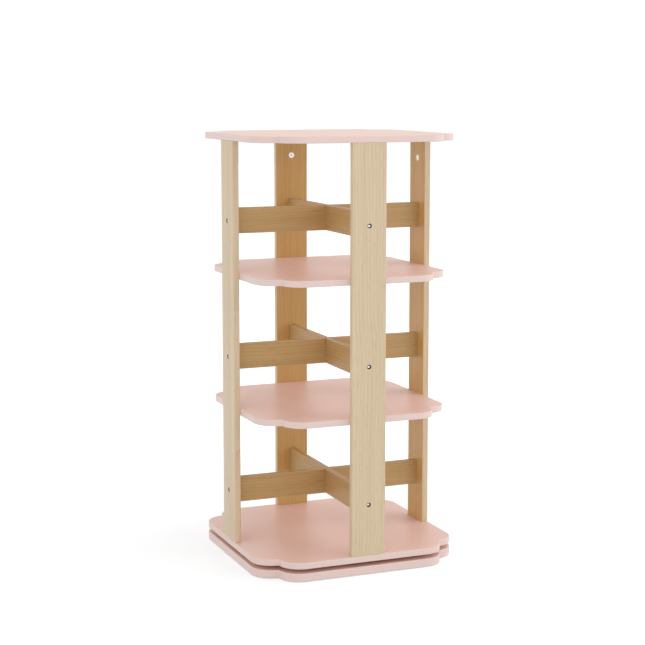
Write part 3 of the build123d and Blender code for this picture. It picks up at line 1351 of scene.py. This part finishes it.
@dataclass
class Rails:
    """The six rails: in each tier two are halved into each other at the axis."""

    arris_radius: float = 1.1 * MM
    notch_clearance: float = 0.2 * MM
    tier_log_step: tuple[float, float, float] = (0.37, 0.0, 0.9)
    pair_log_step: tuple[float, float, float] = (0.17, 0.0, 0.0)

    @staticmethod
    def levels() -> list[float]:
        """List the heights of the rails' middles, from the bottom up."""
        return [middle_of(f"rail_{tier.value}_across").z for tier in Tier]

    def notch(self, low: Vector, high: Vector, level: float) -> BMesh:
        """Shape what the saw takes out of a rail's box at the axis, from the edge at this level."""
        width = high.y - low.y + 2 * self.notch_clearance
        return block(Vector((width, THROUGH * width, high.z - low.z)), Vector((0, 0, level)))

    def build(self) -> None:
        """Make and dress the six rails, each along X before it is turned."""
        for number, tier in enumerate(Tier):
            for way, side in (("across", Side.RIGHT), ("deep", Side.BACK)):
                name = f"rail_{tier.value}_{way}"
                corners = [side.turned.inverted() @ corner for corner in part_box(name)]
                low, high = Vector(map(min, *corners)), Vector(map(max, *corners))
                middle = (low + high) / 2
                shape = block(high - low, middle)
                ease_edges(shape, self.arris_radius)
                rail = Piece(f"{name}_timber", (RAIL_TIMBER,), shape)
                log_place = number * Vector(self.tier_log_step)
                if side is Side.RIGHT:
                    rail.cut_away(self.notch(low, high, high.z))
                else:
                    rail.cut_away(self.notch(low, high, low.z))
                    log_place += Vector(self.pair_log_step)
                rail.lay_grain(middle, "z", "y", "x", log_place)
                rail.fit(Body.CARCASS, name, side)


@dataclass
class Posts:
    """The four timber posts, bored for the rails' screws and the top board's cams."""

    screw: RecessedScrew
    cam: CamLock
    screw_room: float = 1.0 * MM
    screw_bore: float = 3.0 * MM
    arris_radius: float = 1.1 * MM
    log_step: tuple[float, float, float] = (0.41, 0.0, 1.3)

    def build(self) -> None:
        """Make and dress the four posts, each at the right-hand side before it is turned."""
        low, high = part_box("post_right")
        middle = (low + high) / 2
        cam_level = middle_of("top_cam_locks").z
        for number, side in enumerate(Side):
            name = f"post_{side.name.lower()}"
            shape = block(high - low, middle)
            ease_edges(shape, self.arris_radius)
            post = Piece(f"{name}_timber", (POST_TIMBER, SHADED_DRILLED_TIMBER), shape)
            places = [fitting_place(Side.RIGHT, Facing.OUTWARD, high.x, level) for level in Rails.levels()]
            # The screw holes' walls take the drilled softwood, darkened as painted shade in the hole.
            post.cut_away(gathered([self.screw.hole(self.screw_room, self.screw_bore)], places), bare=1)
            places = [fitting_place(Side.RIGHT, Facing.INWARD, low.x, cam_level)]
            post.cut_away(gathered([self.cam.pocket()], places), bare=1)
            post.lay_grain(middle, "y", "x", "z", number * Vector(self.log_step))
            post.fit(Body.CARCASS, name, side)


@dataclass
class Fittings:
    """The screws and cams that show, and the hidden screws, bolts and dowels."""

    rail_screw: RecessedScrew
    cam: CamLock
    level_stop_deg: float = 37.0  # how much further than the one below it each screw is driven
    side_stop_share: float = 0.6  # the same, for each degree round the bookcase

    def screw_places(self) -> list[Matrix]:
        """Find the places of the rails' screws, no two of which stop with their recess at the same turn.

        Returns:
            One place for each post in each tier.
        """
        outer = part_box("post_right")[1].x
        places = []
        for number, level in enumerate(Rails.levels()):
            for side in Side:
                stop = math.radians(self.level_stop_deg * number + self.side_stop_share * side.value)
                place = fitting_place(side, Facing.OUTWARD, outer, level)
                places.append(place @ Matrix.Rotation(stop, 4, "Z"))
        return places

    def build(self) -> None:
        """Make and dress the fittings."""
        screws = gathered([self.rail_screw.shape()], self.screw_places())
        fixings = Piece("rail_screws_cross_recessed", (ZINC_PLATE,), screws)
        fixings.fit(Body.CARCASS, "rail_screws")
        inner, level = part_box("post_right")[0].x, middle_of("top_cam_locks").z
        in_posts = [fitting_place(side, Facing.INWARD, inner, level) for side in Side]
        in_shelves = self.cam.places_under("shelf_lower") + self.cam.places_under("shelf_upper")
        for node, places in (("top_cam_locks", in_posts), ("shelf_cam_locks", in_shelves)):
            cams = gathered([self.cam.cast(), self.cam.cast_arrow()], places)
            Piece(f"{node}_cast", (CAST_ZINC,), cams).fit(Body.CARCASS, node)

    def dress_hidden(self, nodes: dict[str, bpy.types.Object]) -> None:
        """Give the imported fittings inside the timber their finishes.

        Args:
            nodes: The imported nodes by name.
        """
        for name, finish in (
            ("foot_screws", ZINC_PLATE),
            ("top_cam_bolts", ZINC_PLATE),
            ("shelf_cam_bolts", ZINC_PLATE),
            ("top_dowels", DOWEL_TIMBER),
        ):
            nodes[name].data.materials.clear()
            nodes[name].data.materials.append(finish.material)
            log.info("%s: packed shape, %s", name, finish.name)


@dataclass
class FloorPads:
    """Four thin foam pads that keep the base off the floor."""

    radius: float = 15.0 * MM
    arris_radius: float = 0.3 * MM
    arris_steps: int = 2
    steps: int = 48

    def build(self) -> None:
        """Make and dress the pads."""
        _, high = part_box("base_pads")
        reach = high.x - self.radius
        pad = round_bar(self.radius, 0.0, high.z, self.steps)
        ease_edges(pad, self.arris_radius, self.arris_steps)
        places = [side.turned @ Matrix.Translation((reach, reach, 0)) for side in Side]
        Piece("base_pads_foam", (PAD_FOAM,), gathered([pad], places)).fit(Body.STAND, "base_pads")


# Studio


@dataclass(frozen=True)
class Lamp:
    """A square soft lamp."""

    name: str
    spot: tuple[float, float, float]
    watts: float
    width: float = 3.4

    def hang(self, aim: Vector) -> None:
        """Hang the lamp.

        Args:
            aim: What it points at.
        """
        data = bpy.data.lights.new(self.name, "AREA")
        data.size, data.energy = self.width, self.watts
        lamp = in_scene(self.name, data)
        lamp.location = self.spot
        lamp.rotation_euler = (aim - lamp.location).to_track_quat("-Z", "Y").to_euler()
        # What shines in a glossy face is the white room, which is bright enough by itself.
        lamp.visible_glossy = False


@dataclass
class Studio:
    """White sweep, soft lamps and the camera at the photograph's angle."""

    eye: tuple[float, float, float] = (-1.138, -2.783, 0.893)
    yaw_deg: float = 22.07
    pitch_deg: float = -7.43
    lens_mm: float = 88.78
    sensor_mm: float = 36.0
    shift_up: float = -0.05
    lamps: tuple[Lamp, ...] = (
        Lamp("fill", spot=(-2.3, -2.3, 2.0), watts=9.5),
        Lamp("key", spot=(3.1, -1.2, 2.1), watts=36.0),
    )
    lamp_aim: tuple[float, float, float] = (0.0, 0.0, 0.4)
    room_tone: str = "#FFFAF4"
    seen_light: float = 1.03  # a little over white, so that no speck of the room falls short of it
    white: str = "#FFFFFF"
    skirting_light: float = 0.99
    wall_light: float = 1.06
    ceiling_share: float = 0.5
    brightest_slope: float = 0.35  # the height, on a unit sphere round the object, that gives most light
    floor_tone: str = "#E2EAF1"  # a little cool, against the warm light that the object throws on it
    floor_half_width: float = 14.0
    near_lift: float = 0.4
    far_lift: float = 0.6
    shadow_room: tuple[float, float] = (0.35, 1.1)  # how far from the axis the shadow fades, from and to

    def set_camera(self) -> None:
        """Stand the camera where the photograph was taken from."""
        data = bpy.data.cameras.new("camera")
        data.lens, data.sensor_width, data.shift_y = self.lens_mm, self.sensor_mm, self.shift_up
        camera = in_scene("camera", data)
        camera.location = self.eye
        # Unturned, a camera looks straight down; a right angle lifts its look to the horizon.
        camera.rotation_euler = (math.radians(90 + self.pitch_deg), 0, math.radians(-self.yaw_deg))
        bpy.context.scene.camera = camera

    @staticmethod
    def seen(tree: bpy.types.NodeTree) -> bpy.types.NodeSocket:
        """Pick out the rays that look at the studio: straight, in a shine or through something clear.

        Args:
            tree: Node tree that takes the nodes.

        Returns:
            A socket that is 1 for those rays and 0 for light on its way.
        """
        looks = None
        for kind in ("Is Camera Ray", "Is Glossy Ray", "Is Transmission Ray"):
            ray = add_node(tree, "ShaderNodeLightPath", output=kind)
            looks = add_node(tree, "ShaderNodeMath", {"operation": "MAXIMUM", 0: 0.0}, {0: looks, 1: ray})
        return looks

    def light_room(self) -> None:
        """Light the room evenly, and let the camera, metal and glass see it white."""
        world = bpy.data.worlds.new("white room")
        tree = emptied(world)
        seen = self.seen(tree)
        # The light comes from the walls: it thins out towards the skirting and the ceiling.
        aim = add_node(tree, "ShaderNodeTexCoord", output="Generated")
        height = add_node(tree, "ShaderNodeSeparateXYZ", links={"Vector": aim}, output="Z")
        rise, fall = (
            add_node(tree, "ShaderNodeMapRange", spans, {"Value": height})
            for spans in (
                {
                    "interpolation_type": "SMOOTHSTEP",
                    "From Max": self.brightest_slope,
                    "To Min": self.skirting_light,
                    "To Max": self.wall_light,
                },
                {"From Min": self.brightest_slope, "To Min": 1.0, "To Max": self.ceiling_share},
            )
        )
        lit = add_node(tree, "ShaderNodeMath", {"operation": "MULTIPLY"}, {0: rise, 1: fall})
        strength = add_node(
            tree, "ShaderNodeMapRange", {"To Max": self.seen_light}, {"Value": seen, "To Min": lit}
        )
        tones = {"data_type": "RGBA", MIX_A: linear(self.room_tone), MIX_B: linear(self.white)}
        tone = add_node(tree, "ShaderNodeMix", tones, {0: seen}, MIX_RESULT)
        room = add_node(tree, "ShaderNodeBackground", links={"Color": tone, "Strength": strength})
        add_node(tree, "ShaderNodeOutputWorld", links={"Surface": room})
        bpy.context.scene.world = world

    def lay_floor(self) -> None:
        """Lay the white floor, which shows its shadow and runs out to the white room."""
        material = bpy.data.materials.new("white studio floor")
        tree = emptied(material)
        card = add_node(tree, "ShaderNodeBsdfDiffuse", {"Color": linear(self.floor_tone)})
        place = add_node(tree, "ShaderNodeTexCoord", output="Object")
        away = add_node(tree, "ShaderNodeVectorMath", {"operation": "LENGTH"}, {0: place}, "Value")
        near, far = self.shadow_room
        # Beyond the shadow's reach the lamps give less, so that the floor is lifted further to stay white.
        lift = add_node(
            tree,
            "ShaderNodeMapRange",
            {
                "interpolation_type": "SMOOTHSTEP",
                "From Min": near,
                "From Max": far,
                "To Min": self.near_lift,
                "To Max": self.far_lift,
            },
            {"Value": away},
        )
        seen_lift = add_node(
            tree, "ShaderNodeMath", {"operation": "MULTIPLY"}, {0: self.seen(tree), 1: lift}
        )
        glow = add_node(tree, "ShaderNodeEmission", {"Color": linear(self.white)}, {"Strength": seen_lift})
        both = add_node(tree, "ShaderNodeAddShader", links={0: card, 1: glow})
        add_node(tree, "ShaderNodeOutputMaterial", links={"Surface": both})
        shape = bmesh.new()
        bmesh.ops.create_grid(shape, x_segments=1, y_segments=1, size=self.floor_half_width)
        floor = in_scene("studio_floor", loose_mesh(shape, "studio_floor"))
        floor.data.materials.append(material)

    def build(self) -> None:
        """Set up the whole studio."""
        self.set_camera()
        self.light_room()
        for lamp in self.lamps:
            lamp.hang(Vector(self.lamp_aim))
        self.lay_floor()
        bpy.context.scene.view_settings.view_transform = "Standard"
        log.info("studio: camera, white room, %d lamps and a floor", len(self.lamps))


def main() -> None:
    """Build the dressed bookcase piece by piece, in its studio."""
    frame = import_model()
    rail_screw = RecessedScrew(length=40.0 * MM)
    cam = CamLock()
    turntable = Turntable(RecessedScrew(length=16.0 * MM))
    Boards(cam, turntable.screw_reach(Ring.INNER)).build()
    Posts(rail_screw, cam).build()
    Rails().build()
    fittings = Fittings(rail_screw, cam)
    fittings.build()
    fittings.dress_hidden(frame["nodes"])
    turntable.build()
    FloorPads().build()
    Studio().build()


if __name__ == "__main__":
    logging.basicConfig(level=logging.INFO, format="%(message)s")
    main()
